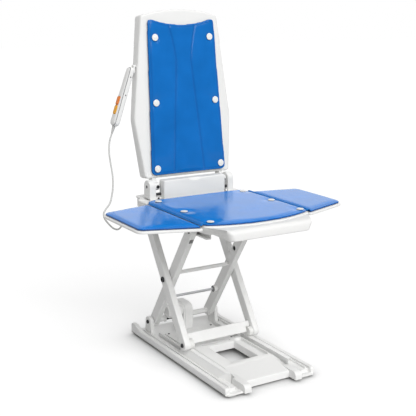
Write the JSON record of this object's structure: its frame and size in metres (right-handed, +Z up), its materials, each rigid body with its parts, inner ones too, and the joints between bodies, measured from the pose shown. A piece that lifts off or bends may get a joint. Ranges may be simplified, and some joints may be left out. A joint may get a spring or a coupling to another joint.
{
  "type": "bath lift chair",
  "caption": "Powered bath chair: padded seat with folding side flaps and reclining back on a scissor lift over a base with suction cups, with a corded hand control.",
  "frame": {"origin": "on the floor under the suction cups, at the centre of the base", "axes": "+X to the right as seen from the front, +Y to the rear, +Z up; left and right in names are as seen from the front"},
  "size_m": [0.692, 0.59, 1.0387],
  "materials": {
    "white_plastic": "white moulded plastic, satin",
    "blue_pad": "blue foam pad with a smooth matt cover",
    "dark_steel": "blackened steel",
    "bright_steel": "bright drawn steel",
    "grey_nylon": "grey nylon",
    "cup_rubber": "grey soft rubber",
    "orange_key": "orange key",
    "amber_key": "amber key",
    "cord_sheath": "light grey cord sheath"
  },
  "bodies": {
    "base": {"base_tray": "white_plastic", "floor_cover": "white_plastic", "gearbox_housing": "white_plastic", "drive_motor": "white_plastic", "suction_cup_front_left": "cup_rubber", "suction_cup_front_right": "cup_rubber", "suction_cup_rear_left": "cup_rubber", "suction_cup_rear_right": "cup_rubber"},
    "pinion": {"drive_pinion": "bright_steel"},
    "inner_arms": {"rear_axle": "dark_steel", "drive_wheel": "grey_nylon", "inner_arm_left": "white_plastic", "inner_arm_right": "white_plastic", "cross_tube": "white_plastic", "cross_rod": "bright_steel", "seat_glide_left": "grey_nylon", "seat_glide_right": "grey_nylon"},
    "outer_arms": {"outer_arm_left": "white_plastic", "outer_arm_right": "white_plastic", "cross_plate": "white_plastic", "track_glide_left": "grey_nylon", "track_glide_right": "grey_nylon", "crossing_bolt_left": "dark_steel", "crossing_bolt_right": "dark_steel"},
    "seat": {"seat_shell": "white_plastic", "seat_bracket_left": "white_plastic", "seat_bracket_right": "white_plastic", "seat_pivot_pin_left": "dark_steel", "seat_pivot_pin_right": "dark_steel", "hinge_housing": "white_plastic", "seat_pad": "blue_pad", "seat_stud_rear_left": "white_plastic", "seat_stud_rear_right": "white_plastic", "seat_stud_middle_left": "white_plastic", "seat_stud_middle_right": "white_plastic", "seat_stud_front_left": "white_plastic", "seat_stud_front_right": "white_plastic", "cable_gland": "white_plastic", "flap_hinge_rod_left": "bright_steel", "flap_hinge_rod_right": "bright_steel", "back_hinge_pin_left": "dark_steel", "back_hinge_pin_right": "dark_steel", "handset_cord": "cord_sheath"},
    "flap_left": {"flap_shell_left": "white_plastic", "flap_pad_left": "blue_pad"},
    "flap_right": {"flap_shell_right": "white_plastic", "flap_pad_right": "blue_pad"},
    "backrest": {"back_shell": "white_plastic", "back_pad": "blue_pad", "back_stud_top_left": "white_plastic", "back_stud_top_right": "white_plastic", "back_stud_middle_left": "white_plastic", "back_stud_middle_right": "white_plastic", "back_stud_bottom_left": "white_plastic", "back_stud_bottom_right": "white_plastic", "handset_front": "white_plastic", "handset_rear": "white_plastic", "strain_relief": "grey_nylon"},
    "up_key": {"up_button": "orange_key"},
    "down_key": {"down_button": "amber_key"}
  },
  "joints": [
    {"name": "lift", "type": "hinge", "parent": "base", "child": "inner_arms", "pos_m": [0, 0.226, 0.0585], "axis": [1, 0, 0], "range_deg": [0, 49]},
    {"name": "scissor_crossing", "type": "hinge", "parent": "inner_arms", "child": "outer_arms", "pos_m": [0, 0.10801, 0.23343], "axis": [1, 0, 0], "range_deg": [-98, 0]},
    {"name": "seat_pivot", "type": "hinge", "parent": "outer_arms", "child": "seat", "pos_m": [0, 0.226, 0.40835], "axis": [1, 0, 0], "range_deg": [0, 49]},
    {"name": "pinion_turn", "type": "hinge", "parent": "base", "child": "pinion", "pos_m": [0.001, 0.211, 0.08448], "axis": [1, 0, 0], "range_deg": [-150, 0]},
    {"name": "recline", "type": "hinge", "parent": "seat", "child": "backrest", "pos_m": [0, 0.175, 0.51205], "axis": [-1, 0, 0], "range_deg": [0, 40]},
    {"name": "flap_left_fold", "type": "hinge", "parent": "seat", "child": "flap_left", "pos_m": [-0.17725, 0, 0.47565], "axis": [0, 1, 0], "range_deg": [0, 90]},
    {"name": "flap_right_fold", "type": "hinge", "parent": "seat", "child": "flap_right", "pos_m": [0.17725, 0, 0.47565], "axis": [0, -1, 0], "range_deg": [0, 90]},
    {"name": "up_press", "type": "slide", "parent": "backrest", "child": "up_key", "axis": [0.9438, 0, -0.3305], "range_m": [0, 0.0012], "stiffness_N_per_m": 800},
    {"name": "down_press", "type": "slide", "parent": "backrest", "child": "down_key", "axis": [0.9438, 0, -0.3305], "range_m": [0, 0.0012], "stiffness_N_per_m": 800}
  ],
  "couplings": [
    {"joint": "scissor_crossing", "follows": "lift", "ratio": -2},
    {"joint": "seat_pivot", "follows": "lift", "ratio": 1},
    {"joint": "pinion_turn", "follows": "lift", "ratio": -3}
  ]
}
